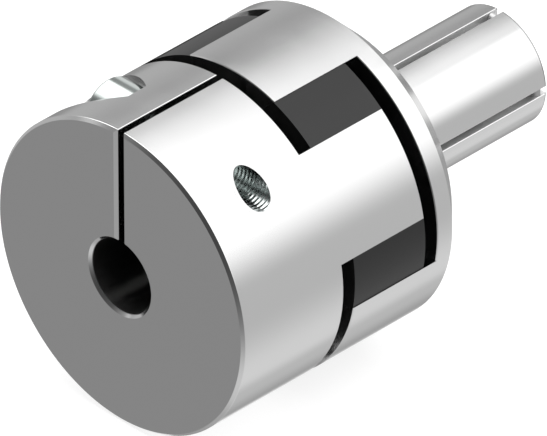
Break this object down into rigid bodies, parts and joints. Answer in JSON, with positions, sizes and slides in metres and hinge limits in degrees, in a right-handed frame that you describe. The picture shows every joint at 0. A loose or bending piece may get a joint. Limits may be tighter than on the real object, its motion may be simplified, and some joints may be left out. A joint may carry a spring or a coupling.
{
  "type": "shaft coupling",
  "caption": "Round jaw coupling: a slotted clamp hub with a cross screw, a black elastomer spider, and a hub that ends in a slotted expanding mandrel.",
  "frame": {"origin": "centre of the clamp hub's front face, on the shaft's axis", "axes": "+Y along the shaft from the clamp hub to the mandrel, +Z towards the clamp hub's slot, +X towards the threaded end of its clamp screw"},
  "size_m": [0.042, 0.0651, 0.042],
  "materials": {
    "turned_aluminium": "fine turned, satin",
    "screw_steel": "bright zinc plated",
    "cone_steel": "turned stainless",
    "black_elastomer": "moulded, matt"
  },
  "bodies": {
    "clamp_side": {"clamp_hub": "turned_aluminium"},
    "clamp_screw_body": {"clamp_screw": "screw_steel"},
    "spider_body": {"spider": "black_elastomer"},
    "mandrel_side": {"mandrel_hub": "turned_aluminium"},
    "expander_screw_body": {"expander_screw": "screw_steel"},
    "expander_cone_body": {"expander_cone": "cone_steel"}
  },
  "joints": [
    {"name": "clamp_screw_turn", "type": "hinge", "parent": "clamp_side", "child": "clamp_screw_body", "pos_m": [-0.0055, 0.0085, 0.0155], "axis": [-1, 0, 0], "range_deg": [0, 360]},
    {"name": "spider_plug", "type": "slide", "parent": "clamp_side", "child": "spider_body", "axis": [0, 1, 0], "range_m": [-0.0005, 0.014]},
    {"name": "mandrel_twist", "type": "hinge", "parent": "spider_body", "child": "mandrel_side", "pos_m": [0, 0.025, 0], "axis": [0, 1, 0], "range_deg": [-1, 1], "stiffness_Nm_per_rad": 0.5, "deforming": ["spider"]},
    {"name": "expander_screw_turn", "type": "hinge", "parent": "mandrel_side", "child": "expander_screw_body", "pos_m": [0, 0.0392, 0], "axis": [0, -1, 0], "range_deg": [0, 360]},
    {"name": "cone_travel", "type": "slide", "parent": "mandrel_side", "child": "expander_cone_body", "axis": [0, 1, 0], "range_m": [0, 0.001]}
  ],
  "couplings": [
    {"joint": "cone_travel", "follows": "expander_screw_turn", "m_per_rad": 0.00015915}
  ]
}
